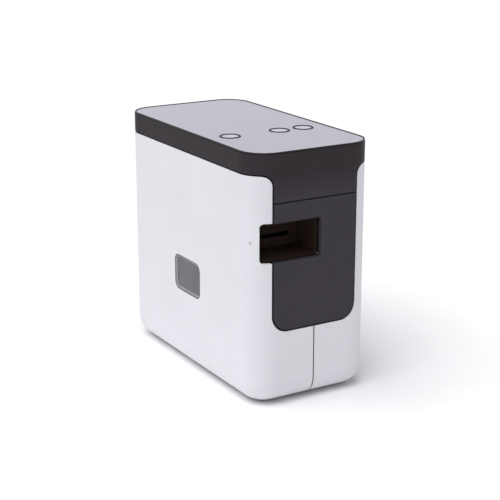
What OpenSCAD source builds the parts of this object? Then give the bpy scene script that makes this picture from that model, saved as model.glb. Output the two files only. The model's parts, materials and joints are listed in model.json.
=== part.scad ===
// Desktop label maker: a narrow upright machine with a swing-open cassette cover on its left side.
// +Z is up, the front faces -Y, and the origin is the centre of the footprint on the table.

/* [Case] */
// Overall width, side to side
case_w = 78; // [77:0.5:80]
// Overall depth, front to back
case_d = 152; // [151:0.5:154]
// Overall height, feet included
case_h = 143; // [142.5:0.5:145]
// Plan radius of the four upright corners
corner_r = 15.5; // [15:0.5:16.5]
// Radius of the rounded bottom edges
bottom_r = 12; // [11:0.5:12.5]
// Radius of the top edge
top_r = 0.8; // [0.4:0.1:1.2]
// Wall thickness of the mouldings
wall = 2.2; // [2:0.1:2.3]
// Height of the rubber feet
foot_h = 1; // [0.8:0.1:1.2]
// Gap between neighbouring outer mouldings
seam = 0.8; // [0.5:0.1:0.9]

/* [Front and top] */
// Height of the joint between the white shells and the dark top
band_z = 131.2; // [130.5:0.1:132]
// Half width of the dark front
front_hw = 26.7; // [26:0.1:27.5]
// Radius where the dark front widens into the dark top
shoulder_r = 6; // [4:0.5:7]
// Height of the joint between the top cover's apron and the front panel
apron_z = 115.8; // [114:0.1:117]
// Bottom edge of the front panel
panel_z = 43.5; // [42:0.5:46]
// Radius of the front panel's lower corners
panel_r = 9.5; // [6:0.5:12]
// Bottom of the tape exit recess
exit_z0 = 83.2; // [82.5:0.1:84]
// Top of the tape exit recess
exit_z1 = 104.9; // [104:0.1:105.5]
// Right side of the tape exit recess
exit_x1 = 3.3; // [2.5:0.1:4]
// Left side of the tape exit recess, round the corner of the cover
exit_x0 = -32.9; // [-33.2:0.1:-32]
// Width of the dark lip round the inlay
inlay_inset = 1.0; // [0.8:0.1:1.5]

/* [Window] */
// Centre of the cassette window, front to back
window_y = -1; // [-4:0.5:2]
// Centre height of the cassette window
window_z = 57.4; // [54:0.2:60]
// Width of the cassette window
window_w = 30.7; // [26:0.1:32]
// Height of the cassette window
window_h = 21.4; // [18:0.1:23]
// Corner radius of the cassette window
window_r = 4.5; // [3:0.5:6]

/* [Buttons] */
// Distance of the button row from the middle of the case
button_y = -26; // [-28:0.5:-24]
// Radius of the button caps
button_r = 4.9; // [4.5:0.1:5]
// Travel of a button
button_travel = 1; // [0.6:0.1:1.2]
// Place of the power button across the width
power_button_x = -24.2; // [-25.5:0.1:-23]
// Place of the feed button across the width
feed_button_x = 7.8; // [7:0.1:8.5]
// Place of the link button across the width
link_button_x = 23.6; // [23:0.1:25]

/* [Cover hinge] */
// Where the hinge line sits round the rear left corner, in degrees from the side
hinge_angle = 55; // [50:1:58]
// Depth of the hinge line below the outer surface
hinge_depth = 2.1; // [2.05:0.01:2.15]
// Radius of the hinge knuckles
knuckle_r = 2.0; // [1.8:0.05:2]
// Radius of the hinge pin
hinge_pin_r = 0.9; // [0.8:0.05:1]

/* [Tape path] */
// Height of the tape plane
tape_z = 94; // [93.8:0.1:94.2]
// Width of the label tape
tape_w = 24; // [18:1:24]
// Left edge of the widest tape
tape_x0 = -32.5; // [-32.6:0.1:-32.3]
// Radius of the platen roller
platen_r = 4.8; // [4.6:0.1:4.8]
// Radius of the feed roller
feed_r = 4.4; // [4.2:0.1:4.4]
// Radius of the pressure roller
pressure_r = 4.2; // [4:0.1:4.3]
// Distance of the platen axis behind the front, from the middle of the case
platen_y = -27; // [-27.2:0.1:-26.8]

/* [Gears] */
// Thickness of a gear
gear_t = 3; // [2.4:0.1:3]
// Radial play of a shaft in its bearing
play = 0.05; // [0.03:0.01:0.08]

/* [Batteries] */
// Radius of an AA cell
cell_r = 7.1; // [6.9:0.05:7.2]
// Length of an AA cell
cell_l = 50.5; // [49.5:0.5:50.5]
// Distance between cells, side by side
cell_pitch = 14.9; // [14.8:0.05:15]

/* [Sockets] */
// Radius of the plug opening in the power socket
jack_bore_r = 2.9; // [2.7:0.05:3.1]
// Radius of the centre pin in the power socket
jack_pin_r = 1.0; // [0.8:0.05:1.1]
// Height of the power socket
jack_z = 38; // [37:0.5:40]
// Height of the data socket
usb_z = 60; // [56:0.5:66]

/* [Hidden] */
$fn = 64;

white = "#e6e7eb";
charcoal = "#3e3b3f";
black = "#1c1a1a";
inlay_grey = "#bbb9c1";
steel = "#a9abb0";
board_green = "#2f6b46";
rubber = "#2b2b2d";
acetal = "#e8e4d6";

eps = 0.01;
half_w = case_w / 2;
half_d = case_d / 2;
shell_z0 = foot_h;
floor_z = foot_h + wall;
in_x = half_w - wall;
in_y = half_d - wall;
half_seam = seam / 2;
white_top = band_z - half_seam;

// Rear left corner and the hinge line on it
corner_x = -(half_w - corner_r);
corner_y = half_d - corner_r;
hinge_n = [-cos(hinge_angle), sin(hinge_angle)];
hinge_t = [sin(hinge_angle), cos(hinge_angle)];
hinge_x = corner_x + hinge_n[0] * (corner_r - hinge_depth);
hinge_y = corner_y + hinge_n[1] * (corner_r - hinge_depth);
relief_r = hinge_depth * 1.52;
relief_z0 = 4;
web_inset = 0.15;
frame_t = 1.8;
frame_gap = 0.1;
hinge_gap = 0.5;
hinge_z0 = 15.5;
hinge_z1 = 129.5;
hinge_step = (hinge_z1 - hinge_z0 - 4 * hinge_gap) / 5;

// Rubber feet
foot_r = 3.5;
foot_x = 22;
foot_y = 59.7;

// Small round dimple in the cover beside the exit, at this height and this far round the corner
dimple_z = 94.3;
dimple_angle = 32.8;
dimple_r = 0.8;
dimple_depth = 0.4;

// How the exit chute narrows from its mouth to its end
chute_end_y = -61;
chute_rise = 4.3;
chute_drop = 3.9;
chute_taper = 6;
chute_t = 1.2;

// Edge of the cover's lip under the case
lip_x = -(half_w - bottom_r) + 0.5;
lip_y = -(half_d - bottom_r) + 0.5;

// Inner plates that stand upright, across the width
deck_x0 = -6;
deck_x1 = -4;
plate_x0 = 6;
plate_x1 = 7.2;
layer_a = -3.4;
layer_b = 0.4;
shaft_end = 0;
deck_y0 = -52;
deck_y1 = 70;
deck_z0 = 22;
deck_z1 = 126;
deck_posts = [[-44, 28], [66, 26], [66, 122], [-44, 122]];
gear_posts = [[-48, 70], [-4, 90], [-8, 56]];
boss_r = 3;
board_boss_r = 2.8;
spacer_r = 2.4;
screw_r = 1.25;
screw_head_r = 2.4;
screw_head_h = 1.5;
screw_socket_r = 1.1;
screw_l = 7;
deck_screw_l = 8;

// Gear modules, and the shape of the teeth
gear_m = 0.8;
cutter_m = 0.6;
pressure_angle = 25;
backlash = 0.05;

// Teeth of the feed train
motor_teeth = 10;
large_teeth = 36;
small_teeth = 12;
feed_teeth = 22;
platen_teeth = 24;
takeup_teeth = 24;
function pitch_r(teeth, m) = teeth * m / 2;

// Axes of the feed train, as [y, z]
platen_z = tape_z + 0.1 + platen_r;
feed_z = tape_z - 0.1 - feed_r;
feed_dist = pitch_r(feed_teeth, gear_m) + pitch_r(platen_teeth, gear_m);
platen_at = [platen_y, platen_z];
feed_at = [platen_y - sqrt(pow(feed_dist, 2) - pow(platen_z - feed_z, 2)), feed_z];
pressure_at = [feed_at[0], tape_z + 0.15 + pressure_r];
function beside(from, dist, angle) = [from[0] + dist * cos(angle), from[1] + dist * sin(angle)];
reduce_angle = -30;
motor_angle = -60;
takeup_angle = -15;
reduce_at = beside(feed_at, pitch_r(feed_teeth + small_teeth, gear_m), reduce_angle);
motor_at = beside(reduce_at, pitch_r(large_teeth + motor_teeth, gear_m), motor_angle);
takeup_at = beside(reduce_at, pitch_r(small_teeth + takeup_teeth, gear_m), takeup_angle);

// A gear's turn at rest: a tooth of the driver at the driver's phase, a gap of the driven gear facing it
function mesh_phase(angle, driver_phase, driver_n, driven_n) =
    angle + 180 + (angle - driver_phase) * driver_n / driven_n + 180 / driven_n;
feed_phase = 0;
to_platen = atan2(platen_z - feed_z, platen_y - feed_at[0]);
platen_phase = mesh_phase(to_platen, feed_phase, feed_teeth, platen_teeth);
small_phase = mesh_phase(reduce_angle, feed_phase, feed_teeth, small_teeth);
takeup_phase = mesh_phase(takeup_angle, small_phase, small_teeth, takeup_teeth);
large_phase = motor_angle;
motor_phase = mesh_phase(motor_angle, large_phase, large_teeth, motor_teeth);

// Roller holder
holder_at = [-47.5, 112];
holder_left = -34.8;
holder_right = -6.4;
holder_t = 1.2;
roller_x0 = -33.2;
roller_x1 = -8;

// Motors
feed_motor_r = 12.2;
feed_motor_l = 25;
motor_boss_r = 5;
cutter_motor_r = 7.75;
cutter_motor_l = 20;
cutter_boss_r = 3;
rotor_r = 1;

// Cutter
cut_frame_y = -52.8;
cut_frame_t = 1.2;
blade_t = 1.2;
blade_gap = 0.1;
blade_tip_x = -34.4;
fixed_y = cut_frame_y - cut_frame_t;
moving_y = fixed_y - blade_t - blade_gap;
cut_gear_y = -57.4;
pivot_x = 3;
pivot_z = 95;
pivot_r = 1.5;
cut_gear_x = 22;
cut_gear_z = 90;
crank_r = 3.5;
crank_angle = 205;
cut_teeth = 36;
cut_pinion_teeth = 10;
cut_motor_z = cut_gear_z + pitch_r(cut_teeth + cut_pinion_teeth, cutter_m);

// Cassette, as [y, z] outline and depth across the width
cas_y0 = -34;
cas_y1 = 24;
cas_z0 = 28;
cas_z1 = 110;
cas_x0 = -34.3;
cas_x1 = -6.6;
cas_split = -20;
cas_wall = 1.2;
bay_y = -20.4;
bay_z0 = 84.5;
bay_z1 = 106;
roll_at = [-4, 54];
roll_r = 19.9;
core_r = 8;
roll_post_r = 3.9;
ribbon_at = [-1, 83];
ribbon_r = 7;
ribbon_post_r = 2;
takeup_r = 2;
spool_x0 = tape_x0;
spool_x1 = tape_x0 + tape_w;
guide_r = 10;

// Battery bay
bat_hx = 22.5;
bat_hy = 55.2;
bat_wall = 1.4;
bat_top = 20.5;
cell_z = floor_z + 0.5 + cell_r;
cover_t = 2;
cover_gap = 0.3;
cover_pivot_z = shell_z0 + cover_t / 2;
cover_pivot_y = -(bat_hy - cover_gap - cover_t / 2);
contact_t = 0.3;
contact_hw = 5.5;
contact_near_hw = 4;
bat_rib = 0.6;
cell_gap = 0.05;
cell_nub_r = 2.7;
cell_nub_h = 1.2;
trunnion_r = 0.6;
trunnion_l = 1.2;
grip_w = 18;
grip_t = 1;
grip_pitch = 2.4;
grip_depth = 0.6;
spring_rings = 30;
spring_turns = 2.5;
spring_wire = 0.35;

// Boards
board_x0 = 12;
board_x1 = 13.6;
board_y0 = 16;
board_y1 = 70;
board_z0 = 32;
board_z1 = 112;
board_posts = [[20, 36], [46, 36], [20, 108], [58, 108]];
jack_x = board_x1 + 5;
jack_hw = 5.5;
jack_y0 = 60;
jack_nose_r = 4.3;
usb_t = 4;
usb_hw = 3.85;
usb_skin = 0.4;
usb_y0 = 65;
socket_gap = 0.3;
switch_z = 129;
switch_t = 1.6;
switch_posts = [[-8, -33.5], [15.7, -33.5]];
top_under = 140.4;
top_skin = 142.1;
stem_z = 136;
stem_r = 2;
cap_gap = 0.3;
cap_flange = 1.3;
cap_flange_t = 0.9;
ring_t = 0.8;
switch_post_r = 2.5;
switch_hw = 3;
switch_h = 3.2;
plunger_r = 1.7;

// Turns a shape so that its own z runs along +X, its x along Y and its y along Z
module along_x(x, at) {
    translate([x, at[0], at[1]]) rotate([90, 0, 90]) children();
}

// Turns a shape so that its own z runs along -Y, its x along X and its y along Z
module along_front(y, at) {
    translate([at[0], y, at[1]]) rotate([90, 0, 0]) children();
}

module rod_x(x0, x1, at, r) {
    along_x(x0, at) cylinder(h = x1 - x0, r = r);
}

module rod_front(y0, y1, at, r) {
    along_front(y1, at) cylinder(h = y1 - y0, r = r);
}

module tube_x(x0, x1, at, r_in, r_out) {
    difference() {
        rod_x(x0, x1, at, r_out);
        rod_x(x0 - 1, x1 + 1, at, r_in);
    }
}

module box(low, high) {
    translate(low) cube(high - low);
}

module round_rect(w, h, r) {
    square([w - 2 * r, h], center = true);
    square([w, h - 2 * r], center = true);
    for (x = [-1, 1], y = [-1, 1]) translate([x * (w / 2 - r), y * (h / 2 - r)]) circle(r);
}

// A bar with round ends between two points of the plane
module link(a, b, r) {
    translate(a) circle(r);
    translate(b) circle(r);
    translate(a) rotate(atan2(b[1] - a[1], b[0] - a[0])) translate([0, -r]) square([norm(b - a), 2 * r]);
}

// Half of a section through the case: flat side at x = 0, radii at the bottom and the top
module half_section(hw, z0, z1, fb, ft) {
    intersection() {
        union() {
            translate([0, z0]) square([hw - fb, z1 - z0 - ft]);
            translate([0, z0 + fb]) square([hw, z1 - z0 - fb - ft]);
            translate([0, z0 + fb]) square([hw - ft, z1 - z0 - fb]);
            if (fb > 0) translate([hw - fb, z0 + fb]) circle(fb, $fn = 96);
            if (ft > 0) translate([hw - ft, z1 - ft]) circle(ft);
        }
        translate([0, z0]) square([hw, z1 - z0]);
    }
}

// The outer form of the case, drawn in by t on every side
module case_form(t, z0, z1, fb, ft) {
    hx = half_w - t;
    hy = half_d - t;
    r = corner_r - t;
    translate([0, hy - r, 0]) rotate([90, 0, 0]) linear_extrude(2 * (hy - r))
        for (m = [0, 1]) mirror([m, 0]) half_section(hx, z0, z1, fb, ft);
    translate([-(hx - r), 0, 0]) rotate([90, 0, 90]) linear_extrude(2 * (hx - r))
        for (m = [0, 1]) mirror([m, 0]) half_section(hy, z0, z1, fb, ft);
    for (q = [0:3]) rotate([0, 0, 90 * q])
        translate([q % 2 == 0 ? hx - r : hy - r, q % 2 == 0 ? hy - r : hx - r, 0])
            rotate_extrude(angle = 90, $fn = 96) half_section(r, z0, z1, fb, ft);
}

module case_wall() {
    difference() {
        case_form(0, shell_z0, white_top, bottom_r, 0);
        case_form(wall, floor_z, white_top + 1, bottom_r - wall, 0);
    }
}

// Plan of the part of the case that swings open, its edges moved by e towards the fixed part
module cover_zone(e) {
    near = [corner_x, corner_y] + 3 * hinge_n + e * hinge_t;
    far = [corner_x, corner_y] + 60 * hinge_n + e * hinge_t;
    polygon([[-case_w, -case_d], [e, -case_d], [e, lip_y + e], [lip_x + e, lip_y + e],
        [lip_x + e, corner_y], near, far, [-case_w, far[1]]]);
}

// Front view of the dark front, grown by g: a tall plate that widens into the top
module dark_front(g) {
    hw = front_hw + g;
    r = panel_r + g;
    difference() {
        union() {
            translate([-hw + r, panel_z - g]) square([2 * (hw - r), case_h]);
            translate([-hw, panel_z - g + r]) square([2 * hw, case_h]);
            for (s = [-1, 1]) translate([s * (hw - r), panel_z - g + r]) circle(r);
            translate([-front_hw - shoulder_r, band_z - shoulder_r])
                square([2 * (front_hw + shoulder_r), case_h]);
        }
        for (s = [-1, 1]) translate([s * (front_hw + shoulder_r), band_z - shoulder_r])
            circle(shoulder_r - g);
    }
}

// The front view extruded through the front wall only
module through_front() {
    translate([0, -half_d + corner_r + 2, 0]) rotate([90, 0, 0]) linear_extrude(corner_r + 4) children();
}

module exit_view(g, r) {
    cx = (exit_x0 + exit_x1) / 2;
    cz = (exit_z0 + exit_z1) / 2;
    translate([cx, cz]) round_rect(exit_x1 - exit_x0 + 2 * g, exit_z1 - exit_z0 + 2 * g, r);
}

// ---- outer mouldings ----

module hinge_relief() {
    translate([hinge_x, hinge_y, relief_z0]) cylinder(h = case_h, r = relief_r);
}

module wall_plan(t) {
    round_rect(case_w - 2 * t, case_d - 2 * t, corner_r - t);
}

// Knuckles number first, first + 2 ... of five, joined to their own wall on the side of the hinge line
module hinge_knuckles(first, side, bore) {
    for (k = [first:2:4]) {
        z0 = hinge_z0 + k * (hinge_step + hinge_gap);
        translate([0, 0, z0]) linear_extrude(hinge_step) difference() {
            union() {
                translate([hinge_x, hinge_y]) circle(knuckle_r);
                intersection() {
                    difference() {
                        wall_plan(web_inset);
                        wall_plan(wall - web_inset);
                    }
                    translate([hinge_x, hinge_y]) circle(relief_r + 0.4);
                    translate([hinge_x, hinge_y]) rotate(90 - hinge_angle + (side > 0 ? 0 : 180))
                        translate([0, -5]) square([10, 10]);
                }
            }
            translate([hinge_x, hinge_y]) circle(bore);
        }
    }
}

module deck_bosses() {
    for (p = deck_posts) rod_x(deck_x1, in_x + 0.5, p, boss_r);
    for (p = board_posts) rod_x(board_x1, in_x + 0.5, p, board_boss_r);
}

// Upright frame behind the front panel, clear of it; its right edge is one with the wall
module front_frame() {
    root_x = front_hw + seam;
    intersection() {
        difference() {
            box([-24, -in_y - 1, panel_z + 2], [in_x + 1, -in_y + frame_t, band_z - 6]);
            box([exit_x0 - 9, -in_y - 2, exit_z0 - 1.6], [exit_x1 + 1.6, -in_y + 3, exit_z1 + 1.6]);
        }
        union() {
            case_form(wall + frame_gap, floor_z, band_z, bottom_r - wall, 0);
            intersection() {
                case_form(wall - 0.5, floor_z, band_z, bottom_r - wall, 0);
                box([root_x, -half_d, 0], [half_w, 0, case_h]);
            }
        }
    }
}

module right_shell() {
    color(white) difference() {
        union() {
            difference() {
                case_wall();
                translate([0, 0, -1]) linear_extrude(case_h + 2) cover_zone(half_seam);
                through_front() dark_front(half_seam);
                hinge_relief();
            }
            hinge_knuckles(0, 1, hinge_pin_r);
            front_frame();
            deck_bosses();
            box([2, -in_y - 0.5, 26], [6, -in_y + 3, 38]);
        }
        box([-bat_hx, -bat_hy, 0], [bat_hx, bat_hy, floor_z + 1]);
        rod_x(-bat_hx - trunnion_l - 0.1, bat_hx + trunnion_l + 0.1,
            [cover_pivot_y, cover_pivot_z], trunnion_r);
        for (p = concat(deck_posts, board_posts)) rod_x(deck_x1 - 1, 22, p, screw_r);
        along_front(half_d + 1, [jack_x, jack_z]) cylinder(h = wall + 2, r = jack_nose_r + socket_gap);
        box([board_x1 - 0.6, in_y - 1, usb_z - usb_hw - 0.75],
            [board_x1 + usb_t + 0.8, half_d + 1, usb_z + usb_hw + 0.75]);
    }
}

module cassette_cover() {
    color(white) difference() {
        union() {
            difference() {
                intersection() {
                    case_wall();
                    translate([0, 0, -1]) linear_extrude(case_h + 2) cover_zone(-half_seam);
                }
                through_front() dark_front(half_seam);
                through_front() exit_view(0.3, 2.3);
                hinge_relief();
            }
            hinge_knuckles(1, -1, hinge_pin_r + play);
            cover_ribs();
        }
        along_x(-half_w - 1, [window_y, window_z]) linear_extrude(wall + 2)
            round_rect(window_w, window_h, window_r);
        translate([corner_x, -corner_y, dimple_z]) rotate([0, 0, 180 + dimple_angle]) rotate([0, 90, 0])
            translate([0, 0, corner_r - dimple_depth]) cylinder(h = 2, r = dimple_r);
    }
}

// Stiffening ribs, two pads that hold the cassette down, and the tongue of the catch
module cover_ribs() {
    for (z = [34, 78, 118]) box([-in_x - 0.5, -56, z], [-in_x + 1.2, 56, z + 1.2]);
    for (z = [38, 102]) rod_x(-in_x - 0.5, -34.7, [-27 + (z - 38) / 3, z], 3);
    box([-10, -in_y - 0.5, 30], [-8.8, -in_y + 3.1, 36]);
    box([-10, -in_y + 2, 30], [-2, -in_y + 3.2, 36]);
}

module window_lens() {
    color("#5c5d64") union() {
        along_x(-half_w + 1, [window_y, window_z]) linear_extrude(wall - 1 + eps)
            round_rect(window_w - 0.2, window_h - 0.2, window_r - 0.1);
        along_x(-in_x, [window_y, window_z]) linear_extrude(0.8)
            round_rect(window_w + 3, window_h + 3, window_r + 1.5);
    }
}

module button_places() {
    for (x = [power_button_x, feed_button_x, link_button_x]) translate([x, button_y, 0]) children();
}

module top_cover() {
    ring_r = button_r + cap_gap;
    color(charcoal) difference() {
        union() {
            difference() {
                case_form(0, band_z + half_seam, case_h, 0, top_r);
                case_form(wall, band_z - 1, top_under, 0, 0);
                case_form(inlay_inset, top_skin, case_h + 1, 0, 0);
            }
            intersection() {
                difference() {
                    case_form(0, shell_z0, band_z + 1, bottom_r, 0);
                    case_form(wall, floor_z, band_z + 2, bottom_r - wall, 0);
                }
                through_front() dark_front(-half_seam);
                box([-half_w, -case_d, apron_z + half_seam / 2], [half_w, 0, case_h]);
            }
            button_places() translate([0, 0, top_under])
                cylinder(h = case_h - top_under, r = ring_r + ring_t);
            for (p = switch_posts) translate([p[0], p[1], switch_z + switch_t])
                cylinder(h = top_under - switch_z - switch_t + 0.5, r = switch_post_r);
            for (y = [-15, 45]) box([in_x - 1.4, y - 6, band_z - 4], [in_x - 0.2, y + 6, top_under + 0.5]);
        }
        button_places() translate([0, 0, top_under - 1]) cylinder(h = 10, r = ring_r);
        for (p = switch_posts) translate([p[0], p[1], switch_z]) cylinder(h = 8, r = screw_r);
    }
}

module top_inlay() {
    color(inlay_grey) difference() {
        case_form(inlay_inset + 0.1, top_skin, case_h, 0, 0);
        button_places() translate([0, 0, top_skin - 1])
            cylinder(h = 4, r = button_r + cap_gap + ring_t + 0.1);
    }
}

module button_cap(x) {
    flange_z = top_under - cap_flange_t - cap_gap;
    color("#b4b2ba") translate([x, button_y, 0]) {
        translate([0, 0, flange_z]) cylinder(h = case_h - flange_z, r = button_r);
        translate([0, 0, flange_z]) cylinder(h = cap_flange_t, r = button_r + cap_flange);
        translate([0, 0, stem_z]) cylinder(h = top_under - stem_z, r = stem_r);
    }
}

module power_button() { button_cap(power_button_x); }
module feed_button() { button_cap(feed_button_x); }
module link_button() { button_cap(link_button_x); }

module front_panel() {
    color(charcoal) difference() {
        intersection() {
            case_wall();
            through_front() dark_front(-half_seam);
            box([-half_w, -case_d, 0], [half_w, 0, apron_z - half_seam / 2]);
        }
        through_front() exit_view(0, 1.3);
        box([exit_x0, -case_d, exit_z0], [-front_hw + 4, 0, exit_z1]);
    }
}

// The recess that the label comes out into: a chute that narrows towards the cutter
module chute_space(g) {
    y0 = -half_d - 2;
    y1 = chute_end_y + g;
    intersection() {
        along_x(exit_x0 - 2 - g, [0, 0]) linear_extrude(exit_x1 - exit_x0 + 2 + 2 * g)
            polygon([[y0, exit_z0 - g], [y1, exit_z0 + chute_rise - g],
                [y1, exit_z1 - chute_drop + g], [y0, exit_z1 + g]]);
        translate([0, 0, exit_z0 - 5]) linear_extrude(exit_z1 - exit_z0 + 10)
            polygon([[exit_x0 - 0.4 - g, y0], [exit_x1 + g, y0], [exit_x1 - chute_taper + g, y1],
                [exit_x0 - 0.4 - g, y1]]);
    }
}

module exit_chute() {
    color(black) intersection() {
        difference() {
            chute_space(chute_t);
            chute_space(0);
            box([tape_x0 - 1.2, -70, tape_z - 1.2], [tape_x0 + tape_w + 1.2, -50, tape_z + 1.4]);
        }
        case_form(wall + 0.4, floor_z, band_z, bottom_r - wall, 0);
    }
}

// ---- chassis ----

module screw(length) {
    cylinder(h = length, r = screw_r);
    translate([0, 0, -screw_head_h]) difference() {
        cylinder(h = screw_head_h, r = screw_head_r);
        translate([0, 0, -1]) cylinder(h = 1.8, r = screw_socket_r, $fn = 6);
    }
}

module chassis_screws() {
    color(steel) {
        for (p = deck_posts) along_x(deck_x0, p) screw(deck_screw_l);
        for (p = board_posts) along_x(board_x0, p) screw(screw_l);
        for (p = gear_posts) along_x(plate_x1, p) mirror([0, 0, 1]) screw(screw_l);
        for (p = switch_posts) translate([p[0], p[1], switch_z]) screw(screw_l);
    }
}

module deck() {
    lift = [1.1, 1.7];
    color("#4a4a4e") difference() {
        union() {
            box([deck_x0, deck_y0, deck_z0], [deck_x1, deck_y1, deck_z1]);
            for (p = gear_posts) rod_x(deck_x1 - eps, plate_x0, p, spacer_r);
        }
        along_x(deck_x0 - 1, [0, 0]) linear_extrude(4) link(platen_at, platen_at + lift, 2.7);
        rod_x(deck_x0 - 1, deck_x1 + 1, feed_at, 3.2);
        rod_x(deck_x0 - 1, deck_x1 + 1, takeup_at, takeup_r + play);
        rod_x(deck_x0 - 1, deck_x1 + 1, reduce_at, 1.6);
        rod_x(deck_x0 - 1, deck_x1 + 1, holder_at, 1.5);
        for (p = deck_posts) rod_x(deck_x0 - 1, deck_x1 + 1, p, screw_r);
        for (p = gear_posts) rod_x(-1, plate_x0 + 1, p, screw_r);
    }
}

module gear_plate() {
    color(steel) union() {
        difference() {
            box([plate_x0, -51, 50], [plate_x1, 0, 96]);
            rod_x(plate_x0 - 1, plate_x1 + 1, motor_at, motor_boss_r + 0.1);
            for (p = gear_posts) rod_x(plate_x0 - 1, plate_x1 + 1, p, screw_r);
        }
        rod_x(deck_x0, plate_x0 + eps, reduce_at, 1.5);
    }
}

module feed_motor() {
    color(steel) union() {
        rod_x(plate_x1, plate_x1 + feed_motor_l, motor_at, feed_motor_r);
        rod_x(plate_x0, plate_x1 + 1, motor_at, motor_boss_r);
        rod_x(plate_x1 + feed_motor_l - 1, plate_x1 + feed_motor_l + 2, motor_at, motor_boss_r);
    }
}

module heat_sink() {
    top = tape_z - 1.1;
    color("#c9cbd0") union() {
        box([-33, -31, top - 2.5], [deck_x0, -22, top]);
        box([-33, -29, bay_z0 + 1], [deck_x0, -27.5, top - 2]);
        box([-33, -25.5, bay_z0 + 1], [deck_x0, -24, top - 2]);
        box([deck_x0 - 1.2, -32, bay_z0 + 1], [deck_x0, -21.4, top]);
    }
}

module print_head() {
    color("#d8cfc0") union() {
        box([roller_x0, -31, tape_z - 1.1], [roller_x1, -22.5, tape_z - 0.3]);
        box([roller_x0 + 0.4, platen_y - 1, tape_z - 0.4], [roller_x1 - 0.4, platen_y + 1, tape_z - 0.1]);
    }
}

module roller_bracket() {
    left = -35.2;
    color(steel) difference() {
        union() {
            box([left, feed_at[0] - 5, tape_z - 11.4], [left + 1.2, feed_at[0] + 5, tape_z - 0.6]);
            box([left, feed_at[0] - 5, tape_z - 11.4], [deck_x0, feed_at[0] + 5, tape_z - 10.2]);
        }
        rod_x(left - 1, left + 2, feed_at, 3.2);
    }
}

module feed_bushings() {
    color("#b98d4a") {
        tube_x(-35.2, -34, feed_at, 2 + play, 3.2);
        tube_x(deck_x0, deck_x1, feed_at, 2 + play, 3.2);
    }
}

module holder_pin() {
    color(steel) rod_x(holder_left - 0.4, deck_x1, holder_at, 1.5);
}

// ---- cutter ----

module cutter_frame() {
    color(steel) difference() {
        union() {
            box([-35.4, fixed_y, 78], [34, cut_frame_y, 112.5]);
            box([deck_x1, cut_frame_y - 0.5, 101], [deck_x1 + 1.2, -45, 111]);
            rod_front(-61, fixed_y + 0.5, [cut_gear_x, cut_gear_z], 1.2);
        }
        box([tape_x0 - 1.5, fixed_y - 1, tape_z - 1.5],
            [tape_x0 + tape_w + 1.5, cut_frame_y + 1, tape_z + 2]);
        rod_front(fixed_y - 1, cut_frame_y + 1, [pivot_x, pivot_z], pivot_r);
        rod_front(fixed_y - 1, cut_frame_y + 1, [cut_gear_x, cut_motor_z], cutter_boss_r);
    }
}

module fixed_blade() {
    color("#d3d5da") box([-34.5, fixed_y - blade_t, 86], [-5, fixed_y, tape_z - 0.4]);
}

module blade_pivot() {
    color(steel) union() {
        rod_front(moving_y - blade_t - 1, cut_frame_y, [pivot_x, pivot_z], pivot_r);
        rod_front(moving_y - blade_t - 1.6, moving_y - blade_t - 0.4, [pivot_x, pivot_z], 3);
    }
}

// The moving blade swings like one half of a pair of scissors; a fork at its tail takes the crank
module moving_blade() {
    crank = [cut_gear_x, cut_gear_z] + crank_r * [cos(crank_angle), sin(crank_angle)];
    tail = atan2(crank[1] - pivot_z, crank[0] - pivot_x);
    color("#d3d5da") along_front(moving_y, [0, 0]) linear_extrude(blade_t) difference() {
        union() {
            polygon([[blade_tip_x, 100.5], [-5.5, 95.2], [0, 91.5], [3, 99.4], [-6, 101.5],
                [blade_tip_x, 105.5]]);
            translate([pivot_x, pivot_z]) circle(4.5);
            translate([pivot_x, pivot_z]) rotate(tail) translate([0, -3]) square([17.5, 6]);
        }
        translate([pivot_x, pivot_z]) circle(pivot_r + play);
        translate([pivot_x, pivot_z]) rotate(tail) translate([13.6, -1.5]) square([8, 3]);
    }
}

// Involute gear teeth with a little backlash, as [x, y] points round one gear
function inv(a) = tan(a) * 180 / PI - a;
function half_tooth(n, m, r) = 90 / n - backlash / pitch_r(n, m) * 180 / PI + inv(pressure_angle)
    - inv(acos(min(1, pitch_r(n, m) * cos(pressure_angle) / r)));
function gear_points(n, m) = let(
        rp = pitch_r(n, m),
        rb = max(rp * cos(pressure_angle), rp - m),
        radii = [rp - m, rb, (rb + rp) / 2, rp, rp + 0.7 * m],
        flank = [for (r = radii) [r, half_tooth(n, m, max(r, rb))]])
    [for (i = [0:n - 1], s = [-1, 1], j = [0:4])
        let(p = flank[s < 0 ? j : 4 - j], a = 360 * i / n + s * p[1]) p[0] * [cos(a), sin(a)]];

module gear(n, m, phase) {
    rotate(phase) linear_extrude(gear_t) polygon(gear_points(n, m));
}

module cutter_gear() {
    crank = crank_r * [cos(crank_angle), sin(crank_angle)];
    color(acetal) along_front(cut_gear_y, [cut_gear_x, cut_gear_z]) difference() {
        union() {
            gear(cut_teeth, cutter_m, 90);
            translate([crank[0], crank[1], -2.4]) cylinder(h = 3, r = 1);
        }
        translate([0, 0, -1]) cylinder(h = gear_t + 2, r = 1.2 + play);
    }
}

module cutter_pinion() {
    color("#b98d4a") union() {
        along_front(cut_gear_y, [cut_gear_x, cut_motor_z])
            gear(cut_pinion_teeth, cutter_m, 270 + 180 / cut_pinion_teeth);
        rod_front(cut_gear_y - eps, cut_frame_y - 0.1, [cut_gear_x, cut_motor_z], rotor_r);
    }
}

module cutter_motor() {
    color(steel) difference() {
        union() {
            rod_front(cut_frame_y, cut_frame_y + cutter_motor_l, [cut_gear_x, cut_motor_z], cutter_motor_r);
            rod_front(fixed_y + 0.1, cut_frame_y + 1, [cut_gear_x, cut_motor_z], cutter_boss_r);
        }
        rod_front(-70, cut_frame_y + 0.5, [cut_gear_x, cut_motor_z], rotor_r + play);
    }
}

// ---- rollers and feed train ----

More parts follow.
